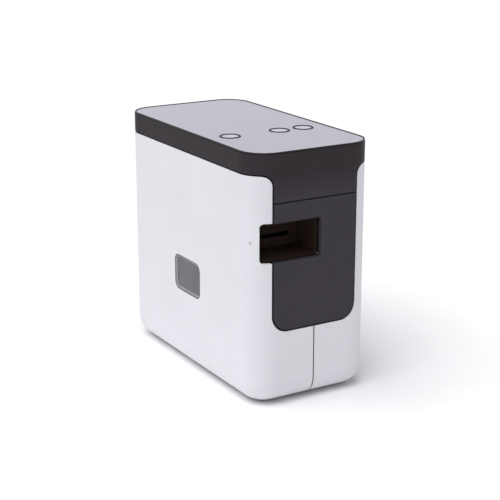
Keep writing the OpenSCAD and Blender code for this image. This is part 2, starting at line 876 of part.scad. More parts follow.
module roller_holder() {
    color(acetal) difference() {
        union() {
            for (x = [holder_left, holder_right - holder_t]) along_x(x, [0, 0]) linear_extrude(holder_t) {
                link(holder_at, pressure_at, 3.2);
                link(pressure_at, platen_at, 3.2);
                translate(platen_at) circle(3.9);
            }
            box([holder_left + 0.5, -48, 104.6], [holder_right - 0.5, -43, 107.2]);
        }
        rod_x(-40, 0, holder_at, 1.5 + play);
        rod_x(-40, 0, pressure_at, 1.5 + play);
        for (x = [holder_left, holder_right - holder_t]) rod_x(x - 1, x + 2.2, platen_at, 3);
    }
}

module holder_bushings() {
    color("#b98d4a") for (x = [holder_left, holder_right - holder_t])
        tube_x(x, x + holder_t, platen_at, 2 + play, 3);
}

module platen_roller() {
    color(rubber) tube_x(roller_x0, roller_x1, platen_at, 2, platen_r);
}

module platen_shaft() {
    color(steel) rod_x(holder_left - 0.4, shaft_end, platen_at, 2);
}

module platen_gear() {
    color(acetal) difference() {
        along_x(layer_a, platen_at) gear(platen_teeth, gear_m, platen_phase);
        rod_x(layer_a - 1, shaft_end + 1, platen_at, 2);
    }
}

module pressure_roller() {
    color(rubber) tube_x(roller_x0, roller_x1, pressure_at, 1.5, pressure_r);
}

module pressure_shaft() {
    color(steel) rod_x(holder_left - 0.3, holder_right, pressure_at, 1.5);
}

module feed_roller() {
    color(rubber) tube_x(roller_x0, roller_x1, feed_at, 2, feed_r);
}

module feed_shaft() {
    color(steel) rod_x(-35.6, shaft_end, feed_at, 2);
}

module feed_gear() {
    color(acetal) difference() {
        along_x(layer_a, feed_at) gear(feed_teeth, gear_m, feed_phase);
        rod_x(layer_a - 1, shaft_end + 1, feed_at, 2);
    }
}

module reduction_gear() {
    color("#e2dcc8") difference() {
        union() {
            along_x(layer_a, reduce_at) gear(small_teeth, gear_m, small_phase);
            along_x(layer_b, reduce_at) gear(large_teeth, gear_m, large_phase);
            rod_x(layer_a, layer_b + gear_t, reduce_at, 3);
        }
        rod_x(layer_a - 1, layer_b + gear_t + 1, reduce_at, 1.5 + play);
    }
}

module motor_pinion() {
    color("#b98d4a") union() {
        along_x(layer_b, motor_at) gear(motor_teeth, gear_m, motor_phase);
        rod_x(layer_b + gear_t - eps, plate_x0 - 0.1, motor_at, rotor_r);
    }
}

module takeup_spindle() {
    color(acetal) union() {
        along_x(layer_a, takeup_at) gear(takeup_teeth, gear_m, takeup_phase);
        rod_x(-26, layer_a + eps, takeup_at, takeup_r);
    }
}

// ---- cassette ----

module cassette_outline(t) {
    difference() {
        translate([(cas_y0 + cas_y1) / 2, (cas_z0 + cas_z1) / 2])
            round_rect(cas_y1 - cas_y0 - 2 * t, cas_z1 - cas_z0 - 2 * t, 3 - t);
        translate([cas_y0 - 5, bay_z0 - t]) square([bay_y - cas_y0 + 5 + t, bay_z1 - bay_z0 + 2 * t]);
    }
}

module cassette_half(x0, x1, floor_x) {
    difference() {
        along_x(x0, [0, 0]) linear_extrude(x1 - x0) cassette_outline(0);
        along_x(floor_x, [0, 0]) linear_extrude(x1 - x0) cassette_outline(cas_wall);
        box([tape_x0 - 0.3, bay_y - 2, tape_z - 0.5], [tape_x0 + tape_w + 0.3, bay_y + 3, tape_z + 0.5]);
    }
}

module cassette_case() {
    color("#d9dade") difference() {
        union() {
            cassette_half(cas_split, cas_x1, cas_split - cas_wall);
            rod_x(spool_x0 + 1, cas_x1 - 0.5, roll_at, roll_post_r);
            rod_x(spool_x0 + 1, cas_x1 - 0.5, ribbon_at, ribbon_post_r);
        }
        rod_x(-30, 0, takeup_at, takeup_r + 0.8);
    }
}

module cassette_lid() {
    color("#cfd0d6") cassette_half(cas_x0, cas_split, cas_x0 + cas_wall);
}

// The tape leaves the roll, rises, bends over a guide and runs forward through the rollers
module label_tape() {
    t = 0.1;
    bend_y = roll_at[0] + roll_r + 0.1 - guide_r;
    color("#f4f4f0") along_x(tape_x0, [0, 0]) linear_extrude(tape_w) {
        translate([-52.5, tape_z - t / 2]) square([bend_y + 52.5, t]);
        translate([bend_y, tape_z - t / 2 - guide_r]) intersection() {
            difference() {
                circle(guide_r + t);
                circle(guide_r);
            }
            square(guide_r + 1);
        }
        translate([bend_y + guide_r, roll_at[1]]) square([t, tape_z - t / 2 - guide_r - roll_at[1]]);
    }
}

module tape_core() {
    color("#8b8d94") tube_x(spool_x0, spool_x1, roll_at, roll_post_r + play, core_r);
}

module tape_roll() {
    color("#f4f4f0") tube_x(spool_x0, spool_x1, roll_at, core_r, roll_r);
}

module ribbon_spool() {
    color(black) tube_x(spool_x0, spool_x1, ribbon_at, ribbon_post_r + play, ribbon_r);
}

module takeup_spool() {
    color("#8b8d94") tube_x(spool_x0, spool_x1, takeup_at, takeup_r, takeup_r + 1.6);
}

// ---- electronics ----

module main_board() {
    color(board_green) difference() {
        box([board_x0, board_y0, board_z0], [board_x1, board_y1, board_z1]);
        for (p = board_posts) rod_x(board_x0 - 1, board_x1 + 1, p, screw_r);
    }
}

module board_parts() {
    x = board_x1;
    color("#26262a") {
        box([x, 28, 60], [x + 1.4, 40, 72]);
        box([x, 44, 66], [x + 1.2, 50, 76]);
        box([x, 26, 44], [x + 5, 36, 54]);
        for (y = [28, 38]) rod_x(x, x + 10, [y, 88], 4);
        rod_x(x, x + 7, [50, 92], 3.2);
    }
    color(acetal) {
        box([x, 30, 98], [x + 6, 46, 103]);
        box([x, 52, 80], [x + 5, 58, 92]);
    }
}

module usb_socket() {
    y1 = half_d - 1;
    in_hw = usb_hw - usb_skin;
    color("#c6c8cc") difference() {
        box([board_x1, usb_y0, usb_z - usb_hw], [board_x1 + usb_t, y1, usb_z + usb_hw]);
        difference() {
            box([board_x1 + usb_skin, usb_y0 + 1.5, usb_z - in_hw],
                [board_x1 + usb_t - usb_skin, y1 + 1, usb_z + in_hw]);
            box([board_x1 + 1.2, usb_y0 + 1, usb_z - 2.5], [board_x1 + 2.2, y1 - 1, usb_z + 2.5]);
        }
    }
}

module dc_jack() {
    color(black) union() {
        difference() {
            union() {
                box([board_x1, jack_y0, jack_z - jack_hw], [board_x1 + 10, in_y, jack_z + jack_hw]);
                rod_front(in_y - 1, half_d - 0.8, [jack_x, jack_z], jack_nose_r);
            }
            rod_front(jack_y0 + 3, half_d + 1, [jack_x, jack_z], jack_bore_r);
        }
        rod_front(jack_y0 + 2, half_d - 2, [jack_x, jack_z], jack_pin_r);
    }
}

module switch_board() {
    color(board_green) difference() {
        box([-32, button_y - 11, switch_z], [31, button_y + 9, switch_z + switch_t]);
        for (p = switch_posts) translate([p[0], p[1], switch_z - 1]) cylinder(h = 4, r = screw_r);
    }
}

module tact_switches() {
    color(black) button_places() translate([0, 0, switch_z + switch_t]) {
        translate([-switch_hw, -switch_hw, 0]) cube([2 * switch_hw, 2 * switch_hw, switch_h]);
        cylinder(h = stem_z - button_travel - 0.1 - switch_z - switch_t, r = plunger_r);
    }
}

// ---- batteries ----

module battery_box() {
    color("#47464a") difference() {
        box([-bat_hx - bat_wall, -bat_hy - bat_wall, floor_z],
            [bat_hx + bat_wall, bat_hy + bat_wall, bat_top]);
        for (s = [-1, 1]) box([-bat_hx, s > 0 ? bat_rib : -bat_hy, floor_z - 1],
            [bat_hx, s > 0 ? bat_hy : -bat_rib, bat_top - 1.2]);
    }
}

module cell_places() {
    for (side = [-1, 1], k = [-1:1]) translate([k * cell_pitch, 0, cell_z])
        rotate([0, 0, side > 0 ? 0 : 180]) children();
}

// A wire spring as a swept tube: rings of points round a conical helix
function spring_point(i, base_r, tip_r, length) = let(
        f = i / (spring_rings - 1),
        a = 360 * spring_turns * f)
    [(base_r + (tip_r - base_r) * f) * cos(a), f * length, (base_r + (tip_r - base_r) * f) * sin(a)];
function spring_ring(i, base_r, tip_r, length) = let(
        p = spring_point(i, base_r, tip_r, length),
        a = 360 * spring_turns * i / (spring_rings - 1))
    [for (k = [0:5]) p + spring_wire * (cos(60 * k) * [cos(a), 0, sin(a)] + sin(60 * k) * [0, 1, 0])];

module wire_spring(base_r, tip_r, length) {
    points = [for (i = [0:spring_rings - 1]) each spring_ring(i, base_r, tip_r, length)];
    last = 6 * (spring_rings - 1);
    near = [for (i = [0:spring_rings - 2], k = [0:5]) [6 * i + k, 6 * i + 6 + k, 6 * i + (k + 1) % 6]];
    far = [for (i = [0:spring_rings - 2], k = [0:5])
        [6 * i + 6 + k, 6 * i + 6 + (k + 1) % 6, 6 * i + (k + 1) % 6]];
    ends = [for (k = [1:4]) each [[0, k, k + 1], [last, last + k + 1, last + k]]];
    polyhedron(points, concat(near, far, ends));
}

module battery_contacts() {
    y_plate = bat_hy - contact_t;
    y_cell = y_plate - 3.2;
    color("#c6c8cc") {
        cell_places() {
            translate([-contact_hw, y_plate, -contact_hw]) cube([2 * contact_hw, contact_t, 2 * contact_hw]);
            translate([-contact_near_hw, bat_rib, -contact_near_hw])
                cube([2 * contact_near_hw, contact_t, 2 * contact_near_hw]);
        }
        cell_places() translate([0, y_cell + spring_wire + 0.1, 0])
            wire_spring(3, 5, y_plate - y_cell - 2 * spring_wire - 0.15);
    }
}

module battery_cells() {
    start = bat_rib + contact_t + cell_gap;
    color("#c08a3a") cell_places() {
        translate([0, start, 0]) rotate([-90, 0, 0]) cylinder(h = cell_nub_h + 0.1, r = cell_nub_r);
        translate([0, start + cell_nub_h, 0]) rotate([-90, 0, 0])
            cylinder(h = cell_l - cell_nub_h, r = cell_r);
    }
}

module battery_cover() {
    w = bat_hx - cover_gap;
    color("#d6d7db") union() {
        difference() {
            box([-w, cover_pivot_y, shell_z0], [w, bat_hy - cover_gap, shell_z0 + cover_t]);
            for (k = [0:4]) translate([0, bat_hy - 5.5 - grip_pitch * k, shell_z0])
                cube([grip_w, grip_t, 2 * grip_depth], center = true);
        }
        rod_x(-w, w, [cover_pivot_y, cover_pivot_z], cover_t / 2);
        rod_x(-w - trunnion_l, w + trunnion_l, [cover_pivot_y, cover_pivot_z], trunnion_r - play);
    }
}

module feet() {
    color(rubber) for (x = [-foot_x, foot_x], y = [-foot_y, foot_y]) translate([x, y, 0])
        cylinder(h = foot_h, r = foot_r);
}

// ---- fittings of the cover ----

// Leaf spring that the cover's tongue snaps behind
module cover_catch() {
    y = -in_y + 3;
    color(steel) union() {
        box([2, y, 28], [6, y + 0.6, 37]);
        box([-6.5, y + 0.6, 30.5], [3, y + 1.1, 35.5]);
    }
}

module hinge_pin() {
    color(steel) translate([hinge_x, hinge_y, hinge_z0 + 1])
        cylinder(h = hinge_z1 - hinge_z0 - 2, r = hinge_pin_r);
}

right_shell();
top_cover();
top_inlay();
front_panel();
exit_chute();
deck();
chassis_screws();
gear_plate();
feed_motor();
heat_sink();
print_head();
roller_bracket();
feed_bushings();
holder_pin();
cutter_frame();
fixed_blade();
blade_pivot();
cutter_motor();
main_board();
board_parts();
usb_socket();
dc_jack();
switch_board();
tact_switches();
battery_box();
battery_contacts();
battery_cells();
feet();
cassette_case();
cassette_lid();
label_tape();
cover_catch();
hinge_pin();
cassette_cover();
window_lens();
battery_cover();
power_button();
feed_button();
link_button();
roller_holder();
holder_bushings();
platen_roller();
platen_shaft();
platen_gear();
pressure_roller();
pressure_shaft();
feed_roller();
feed_shaft();
feed_gear();
reduction_gear();
motor_pinion();
takeup_spindle();
takeup_spool();
moving_blade();
cutter_gear();
cutter_pinion();
tape_core();
tape_roll();
ribbon_spool();
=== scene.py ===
import bpy
import json
import math
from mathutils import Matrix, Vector


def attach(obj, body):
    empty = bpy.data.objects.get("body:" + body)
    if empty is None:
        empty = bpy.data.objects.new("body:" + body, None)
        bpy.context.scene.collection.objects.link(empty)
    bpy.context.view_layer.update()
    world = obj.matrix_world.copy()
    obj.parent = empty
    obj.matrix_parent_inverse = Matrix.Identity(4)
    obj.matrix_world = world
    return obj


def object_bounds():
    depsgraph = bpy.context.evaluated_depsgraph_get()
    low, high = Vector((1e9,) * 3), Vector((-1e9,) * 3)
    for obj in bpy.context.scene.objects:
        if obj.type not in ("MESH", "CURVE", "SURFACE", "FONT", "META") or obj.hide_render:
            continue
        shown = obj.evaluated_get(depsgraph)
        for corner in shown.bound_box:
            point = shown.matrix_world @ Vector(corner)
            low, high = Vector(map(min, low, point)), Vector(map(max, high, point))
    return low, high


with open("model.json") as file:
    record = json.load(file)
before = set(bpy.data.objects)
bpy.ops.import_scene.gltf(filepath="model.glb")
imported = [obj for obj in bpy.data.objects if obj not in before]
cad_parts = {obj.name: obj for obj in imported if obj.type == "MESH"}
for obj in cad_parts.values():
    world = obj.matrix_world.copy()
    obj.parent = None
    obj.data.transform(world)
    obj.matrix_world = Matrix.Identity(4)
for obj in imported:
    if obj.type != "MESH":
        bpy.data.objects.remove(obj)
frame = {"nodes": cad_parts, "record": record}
cad_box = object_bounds()
nodes = frame["nodes"]
scene = bpy.context.scene
MM = 0.001


# ---- camera ----

CAMERA_AT = Vector((-377.04, -643.67, 291.93)) * MM
LOOK_AT = Vector((2.294, -2.788, 67.416)) * MM
LENS = 94.40
SENSOR = 36.0

camera_data = bpy.data.cameras.new("camera")
camera_data.lens = LENS
camera_data.sensor_width = SENSOR
camera_data.clip_start = 0.01
camera_data.clip_end = 20
camera = bpy.data.objects.new("camera", camera_data)
camera.location = CAMERA_AT
camera.rotation_euler = (LOOK_AT - CAMERA_AT).to_track_quat("-Z", "Y").to_euler()
scene.collection.objects.link(camera)
scene.camera = camera


# ---- material building ----

def srgb(r, g, b):
    """A colour given in 0-255 display values, as linear light."""
    def one(v):
        v = v / 255
        return v / 12.92 if v <= 0.04045 else ((v + 0.055) / 1.055) ** 2.4
    return (one(r), one(g), one(b), 1.0)


def toned(tone, factor, lift=0.0):
    """A tone made lighter or darker by a factor, and raised by lift."""
    return tuple(min(1, c * factor + lift) for c in tone[:3]) + (1,)


class Surface:
    """A material with short ways to add the layers that the surfaces here share.

    Its shader starts out bare. color, roughness and bump each take the output of one of the other methods."""

    def __init__(self, name, **sockets):
        self.mat = bpy.data.materials.new(name)
        self.mat.use_nodes = True
        self.tree = self.mat.node_tree
        self.tree.nodes.clear()
        self.out = self.add("ShaderNodeOutputMaterial")
        self.bsdf = self.add("ShaderNodeBsdfPrincipled")
        self.link(self.bsdf.outputs[0], self.out.inputs[0])
        for key, value in sockets.items():
            self.bsdf.inputs[key.replace("_", " ")].default_value = value
        self.place = self.add("ShaderNodeTexCoord").outputs["Object"]
        self.normal = None

    def add(self, kind, **props):
        node = self.tree.nodes.new(kind)
        for key, value in props.items():
            setattr(node, key, value)
        return node

    def link(self, a, b):
        self.tree.links.new(a, b)

    def math(self, op, a, b=None):
        """One sum on numbers or on other nodes' outputs."""
        node = self.add("ShaderNodeMath", operation=op)
        for i, v in enumerate((a, b)):
            if v is None:
                continue
            if isinstance(v, (int, float)):
                node.inputs[i].default_value = v
            else:
                self.link(v, node.inputs[i])
        return node.outputs[0]

    def coordinate(self, axis):
        """Where the shaded point is, in metres: 0 for across, 1 for front to rear, 2 for up."""
        split = self.add("ShaderNodeSeparateXYZ")
        self.link(self.place, split.inputs[0])
        return split.outputs[axis]

    def scaled(self, stretch):
        """The shaded point with each of its coordinates multiplied."""
        node = self.add("ShaderNodeMapping")
        node.inputs["Scale"].default_value = stretch
        self.link(self.place, node.inputs[0])
        return node.outputs[0]

    def noise(self, size_mm, detail=3, rough=0.55, stretch=(1, 1, 1)):
        """Noise whose largest cells are about size_mm across."""
        node = self.add("ShaderNodeTexNoise")
        node.inputs["Scale"].default_value = 1 / (size_mm * MM)
        node.inputs["Detail"].default_value = detail
        node.inputs["Roughness"].default_value = rough
        self.link(self.scaled(stretch), node.inputs["Vector"])
        return node.outputs[0]

    def cells(self, size_mm):
        """Distance from the middle of scattered cells, about size_mm apart."""
        node = self.add("ShaderNodeTexVoronoi")
        node.inputs["Scale"].default_value = 1 / (size_mm * MM)
        self.link(self.place, node.inputs["Vector"])
        return node.outputs["Distance"]

    def ranged(self, value, low, high, from_low=0.3, from_high=0.7):
        """low where the value is from_low or less, high where it is from_high or more."""
        node = self.add("ShaderNodeMapRange")
        node.inputs["From Min"].default_value = from_low
        node.inputs["From Max"].default_value = from_high
        node.inputs["To Min"].default_value = low
        node.inputs["To Max"].default_value = high
        self.link(value, node.inputs["Value"])
        return node.outputs[0]

    def mixed(self, factor, a, b):
        """Colour a where the factor is 0, and b where it is 1."""
        node = self.add("ShaderNodeMix", data_type="RGBA")
        if isinstance(factor, (int, float)):
            node.inputs[0].default_value = factor
        else:
            self.link(factor, node.inputs[0])
        for socket, v in ((node.inputs[6], a), (node.inputs[7], b)):
            if isinstance(v, tuple):
                socket.default_value = v
            else:
                self.link(v, socket)
        return node.outputs[2]

    def bump(self, height, strength, depth_mm):
        """A relief on top of those added before it."""
        node = self.add("ShaderNodeBump")
        node.inputs["Strength"].default_value = strength
        node.inputs["Distance"].default_value = depth_mm * MM
        self.link(height, node.inputs["Height"])
        if self.normal is not None:
            self.link(self.normal, node.inputs["Normal"])
        self.normal = node.outputs[0]
        self.link(self.normal, self.bsdf.inputs["Normal"])

    def color(self, value):
        self.link(value, self.bsdf.inputs["Base Color"])

    def roughness(self, value):
        self.link(value, self.bsdf.inputs["Roughness"])

    def gap_shade(self, reach_mm):
        """How much painted shade a point gets: 1 deep in narrow joints, 0 on open faces."""
        hidden, exposed = 0.22, 0.52
        shade = self.add("ShaderNodeAmbientOcclusion", samples=8)
        shade.inputs["Distance"].default_value = reach_mm * MM
        return self.ranged(shade.outputs["AO"], 1, 0, hidden, exposed)

    def edges(self, radius_mm):
        """1 on and beside sharp edges, 0 on open faces. The edges also catch the light as rounded ones."""
        turned, level = 0.86, 0.995
        bevel = self.add("ShaderNodeBevel", samples=4)
        bevel.inputs["Radius"].default_value = radius_mm * MM
        geometry = self.add("ShaderNodeNewGeometry")
        dot = self.add("ShaderNodeVectorMath", operation="DOT_PRODUCT")
        self.normal = bevel.outputs[0]
        self.link(self.normal, dot.inputs[0])
        self.link(geometry.outputs["Normal"], dot.inputs[1])
        return self.ranged(dot.outputs["Value"], 1, 0, turned, level)


# Painted shade that darkens the joints between mouldings, and how near to each other their walls are there
GAP_SHADE = srgb(16, 14, 15)
GAP_SHADE_REACH_MM = 1.6
GRAIN_MM = 0.32
GRAIN_DEPTH_MM = 0.06


def moulded(name, tone, rough, grain=0.16, painted_edge_tone=None, painted_edge_amount=(0.15, 0.6), edge_mm=0.35, gloss=0.5, above=()):
    """Moulded plastic: an eroded grain, slow changes of tone and gloss, painted shade in its joints, and
    painted light on its edges, in a tone of their own.

    painted_edge_tone is that tone, lighter for a painted highlight and darker for painted shade,
    painted_edge_amount how much of it shows at least and at most, and edge_mm how far it reaches.
    above lists other tones that take over with height: where each begins and is full, in mm, and the tone."""
    s = Surface(name, Roughness=rough, Specular_IOR_Level=gloss)
    uneven = 0.045
    base = s.mixed(s.ranged(s.noise(38, detail=2), 0, 1), toned(tone, 0.955), tone)
    base = s.mixed(s.ranged(s.noise(0.9, detail=4), 0, 0.10), base, toned(tone, 1.10))
    # Painted light on the edges: a paler tone is a painted highlight, a darker one painted shade
    if painted_edge_tone:
        patches = s.ranged(s.noise(6, detail=4), *painted_edge_amount)
        base = s.mixed(s.math("MULTIPLY", s.edges(edge_mm), patches), base, painted_edge_tone)
    for begins, full, other in above:
        base = s.mixed(s.ranged(s.coordinate(2), 0, 1, begins * MM, full * MM), base, other)
    # Painted shade: the colour turns dark where nearby walls shut the surface in
    s.color(s.mixed(s.gap_shade(GAP_SHADE_REACH_MM), base, GAP_SHADE))
    s.roughness(s.ranged(s.noise(14, detail=4), rough - uneven, rough + uneven))
    s.bump(s.noise(GRAIN_MM, detail=2, rough=0.6), grain, GRAIN_DEPTH_MM)
    return s.mat


WEAVE_PITCH_MM = 1.3
WEAVE_DEPTH_MM = 0.06
# The stretch from front to rear over which painted light turns the weave paler
PALER_FROM_MM, PALER_TO_MM = -50, 75


def weave_plastic(name, tone):
    """Grey plastic with a fine diagonal twill pressed into it, with painted light making it a little paler
    towards the rear.
    """
    s = Surface(name, Roughness=0.36)
    x, y = s.coordinate(0), s.coordinate(1)
    turn = 2 * math.pi / (WEAVE_PITCH_MM * MM) * math.sqrt(0.5)
    across = s.math("SINE", s.math("MULTIPLY", s.math("SUBTRACT", x, y), turn))
    along = s.math("SINE", s.math("MULTIPLY", s.math("ADD", x, y), turn))
    strand = s.math("MULTIPLY", across, s.ranged(along, 0.30, 0.50, -1, 1))
    height = s.math("ADD", strand, 0.5)
    base = s.mixed(s.ranged(height, 0, 1, 0.05, 0.95), toned(tone, 0.60), toned(tone, 1.36))
    base = s.mixed(s.ranged(s.noise(30, detail=2), 0, 0.15), base, tone)
    # Painted light: the weave turns paler towards the rear
    painted_lit = s.mixed(0.5, base, toned(tone, 1.14))
    s.color(s.mixed(s.ranged(y, 0, 0.8, PALER_FROM_MM * MM, PALER_TO_MM * MM), base, painted_lit))
    s.roughness(s.ranged(height, 0.46, 0.30, 0, 1))
    s.bump(height, 0.30, WEAVE_DEPTH_MM)
    s.bump(s.noise(0.25, detail=2), 0.08, 0.03)
    return s.mat


# How noise is stretched into fine lines: along X on drawn metal and wound tape, and round X on ground metal
DRAWN = (0.06, 1, 1)
GROUND = (1, 0.12, 0.12)
WOUND = (0.05, 1, 1)


def drawn_steel(name, tone, rough=0.34):
    """Sheet or turned metal with fine drawing lines along one way and patches of duller surface."""
    s = Surface(name, Metallic=0.95, Roughness=rough)
    line = s.noise(0.5, detail=4, rough=0.6, stretch=DRAWN)
    patch = s.noise(12)
    s.color(s.mixed(s.ranged(line, 0, 1), toned(tone, 0.80), tone))
    s.roughness(s.math("ADD", s.ranged(line, rough - 0.10, rough + 0.06), s.ranged(patch, -0.04, 0.06)))
    s.bump(line, 0.10, depth_mm=0.04)
    return s.mat


def ground_metal(name, tone, rough=0.16):
    """Bright ground or turned metal."""
    s = Surface(name, Metallic=1.0, Roughness=rough)
    line = s.noise(0.22, rough=0.6, stretch=GROUND)
    s.color(s.mixed(s.ranged(line, 0, 1), toned(tone, 0.88), tone))
    s.roughness(s.ranged(s.noise(5), rough - 0.05, rough + 0.09))
    s.bump(line, 0.06, depth_mm=0.02)
    return s.mat


def rubber_surface(name, tone, rough):
    """Dark rubber with a little dust on it."""
    s = Surface(name, Roughness=rough)
    dust = s.noise(7, detail=5, rough=0.7)
    s.color(s.mixed(s.ranged(dust, 0, 0.45), tone, toned(tone, 2.1, lift=0.008)))
    s.roughness(s.ranged(dust, rough - 0.08, rough + 0.12))
    s.bump(s.noise(0.18, rough=0.7), 0.30, depth_mm=0.05)
    return s.mat


def waxy_plastic(name, tone):
    """Acetal: smooth, slightly see-through plastic of gears and holders."""
    s = Surface(name, Roughness=0.32, Subsurface_Weight=0.12, Subsurface_Scale=0.002)
    s.color(s.mixed(s.ranged(s.noise(9, detail=4), 0, 1), toned(tone, 0.93), tone))
    s.roughness(s.ranged(s.noise(3), 0.26, 0.42))
    s.bump(s.noise(0.4, detail=2), 0.06, depth_mm=0.03)
    return s.mat


def board_surface(name):
    """Solder mask over copper runs, with tinned vias."""
    mask, copper, tin = srgb(28, 92, 56), srgb(52, 128, 74), srgb(196, 190, 170)
    s = Surface(name, Roughness=0.28, Coat_Weight=0.35, Coat_Roughness=0.12)
    runs = s.add("ShaderNodeTexBrick", offset=0.37, squash=0.6)
    for socket, value in (("Scale", 260), ("Mortar Size", 0.09), ("Brick Width", 1.7)):
        runs.inputs[socket].default_value = value
    turn = s.add("ShaderNodeMapping")
    turn.inputs["Rotation"].default_value = (0, math.radians(90), 0)
    s.link(s.place, turn.inputs[0])
    s.link(turn.outputs[0], runs.inputs["Vector"])
    base = s.mixed(s.math("MULTIPLY", runs.outputs["Fac"], 0.75), mask, copper)
    vias = s.ranged(s.cells(3.1), 1, 0, 0.10, 0.14)
    s.color(s.mixed(vias, base, tin))
    s.bump(runs.outputs["Fac"], 0.25, depth_mm=0.04)
    return s.mat


def chip_surface(name):
    """The sanded resin of chips and other board parts."""
    s = Surface(name, Roughness=0.45)
    grain = s.noise(0.3)
    s.color(s.mixed(s.ranged(grain, 0, 1), srgb(24, 24, 27), srgb(42, 42, 46)))
    s.roughness(s.ranged(s.noise(2.5), 0.34, 0.56))
    s.bump(grain, 0.22, depth_mm=0.04)
    return s.mat


def tape_surface(name):
    """Off-white label tape with faint lines across its width."""
    s = Surface(name, Roughness=0.40)
    layers = s.noise(0.35, detail=2, rough=0.5, stretch=WOUND)
    s.color(s.mixed(s.ranged(layers, 0, 1), srgb(226, 226, 220), srgb(246, 246, 242)))
    s.roughness(s.ranged(s.noise(6), 0.32, 0.48))
    s.bump(layers, 0.15, depth_mm=0.03)
    return s.mat


def film_surface(name):
    """Wound ink ribbon: black, glossy film."""
    s = Surface(name, Roughness=0.22, Coat_Weight=0.4, Coat_Roughness=0.1)
    layers = s.noise(0.25, detail=2, rough=0.5, stretch=WOUND)
    s.color(s.mixed(s.ranged(layers, 0, 1), srgb(14, 13, 15), srgb(30, 28, 33)))
    s.roughness(s.ranged(layers, 0.16, 0.34))
    s.bump(layers, 0.12, depth_mm=0.02)
    return s.mat


# A cell is bare steel, then dark, then bronze, going out from the middle of the bay to these distances
STEEL_TO_MM = 2.2
DARK_TO_MM = 33.0


def cell_surface(name):
    """A battery's scuffed plastic jacket, and its steel end."""
    s = Surface(name, Metallic=0.55, Roughness=0.3, Coat_Weight=0.5, Coat_Roughness=0.12)
    reach = s.math("ABSOLUTE", s.coordinate(1))
    dark = s.ranged(reach, 1, 0, DARK_TO_MM * MM, (DARK_TO_MM + 0.4) * MM)
    base = s.mixed(dark, srgb(176, 124, 56), srgb(32, 31, 34))
    steel = s.ranged(reach, 1, 0, STEEL_TO_MM * MM, (STEEL_TO_MM + 0.2) * MM)
    base = s.mixed(steel, base, STEEL)
    scuff = s.noise(2.2, detail=5, rough=0.7)
    s.color(s.mixed(s.ranged(scuff, 0, 0.16), base, srgb(205, 200, 190)))
    s.roughness(s.ranged(scuff, 0.22, 0.42))
    s.bump(s.noise(0.5), 0.05, depth_mm=0.03)
    return s.mat


# The pane's scratches run from front to rear
SCRATCHED = (1, 0.05, 1)


def smoked_window(name):
    """Smoked clear plastic: mostly dark tint, with faint haze and fine scratches."""
    s = Surface(name, Roughness=0.09, IOR=1.49, Transmission_Weight=0.45,
        Coat_Weight=0.25, Coat_Roughness=0.03)
    s.color(s.mixed(s.ranged(s.noise(11), 0, 1), srgb(84, 84, 92), srgb(102, 102, 112)))
    scratch = s.noise(0.28, detail=4, rough=0.7, stretch=SCRATCHED)
    s.roughness(s.ranged(scratch, 0.06, 0.17))
    s.bump(scratch, 0.03, depth_mm=0.02)
    return s.mat


def fired_ceramic(name):
    """The print head's glazed, faintly speckled ceramic."""
    s = Surface(name, Roughness=0.34, Coat_Weight=0.3, Coat_Roughness=0.08)
    speck = s.noise(0.5, detail=4, rough=0.7)
    s.color(s.mixed(s.ranged(speck, 0, 1), srgb(196, 186, 166), srgb(226, 218, 202)))
    s.roughness(s.ranged(speck, 0.26, 0.44))
    s.bump(speck, 0.08, depth_mm=0.02)
    return s.mat


# ---- looks of the CAD pieces ----

STEEL = srgb(186, 188, 192)
WHITE = srgb(231, 231, 236)
CHARCOAL = srgb(68, 64, 70)
# The charcoal darkened by painted shade, for the upper band
CHARCOAL_SHADE = srgb(56, 51, 55)
CHUTE_BLACK = srgb(45, 34, 30)
RIM_BLACK = srgb(18, 16, 18)
INLAY = srgb(197, 195, 204)
BUTTON = srgb(216, 215, 224)
# Heights in mm over which painted shade darkens the charcoal on the band, and over which it blackens at the
# top edge
SHADED_BAND = (117, 131, CHARCOAL_SHADE)
BLACK_EDGE = (142.35, 142.6, RIM_BLACK)

# The edge tones below are painted light: a painted highlight on the white and on the chute's black, painted
# shade on the charcoal
looks = {
    "white_plastic": moulded("white_moulding", WHITE, 0.46, grain=0.13, painted_edge_tone=srgb(240, 240, 243)),
    "charcoal_plastic": moulded("charcoal_moulding", CHARCOAL, 0.46, grain=0.20, painted_edge_tone=srgb(20, 18, 20),
        painted_edge_amount=(0.7, 1.0), edge_mm=0.7, gloss=0.05, above=(SHADED_BAND, BLACK_EDGE)),
    "black_plastic": moulded("black_moulding", CHUTE_BLACK, 0.55, grain=0.12, painted_edge_tone=srgb(60, 50, 46),
        gloss=0.02),
    "inlay_plastic": weave_plastic("woven_inlay", INLAY),
    "button_plastic": weave_plastic("woven_button", BUTTON),
    "chassis_plastic": moulded("chassis_moulding", srgb(66, 66, 70), 0.52, grain=0.24),
    "acetal": waxy_plastic("acetal", srgb(232, 227, 212)),
    "sheet_steel": drawn_steel("sheet_steel", STEEL),
    "polished_steel": ground_metal("ground_steel", srgb(208, 210, 214)),
    "head_sink": drawn_steel("head_sink", srgb(206, 208, 212), 0.40),
    "head_ceramic": fired_ceramic("head_ceramic"),
    "bronze": ground_metal("sintered_bronze", srgb(176, 134, 78), 0.38),
    "roller_rubber": rubber_surface("roller_rubber", srgb(38, 38, 40), 0.62),
    "foot_rubber": rubber_surface("foot_rubber", srgb(58, 58, 60), 0.82),
    "circuit_board": board_surface("circuit_board"),
    "components": chip_surface("components"),
    "window_plastic": smoked_window("smoked_window"),
    "cassette_plastic": moulded("cassette_moulding", srgb(206, 207, 212), 0.44, grain=0.18),
    "tape": tape_surface("label_tape_surface"),
    "ribbon": film_surface("ribbon_film"),
    "core_plastic": moulded("core_moulding", srgb(132, 134, 142), 0.48),
    "cell_jacket": cell_surface("cell_jacket"),
}

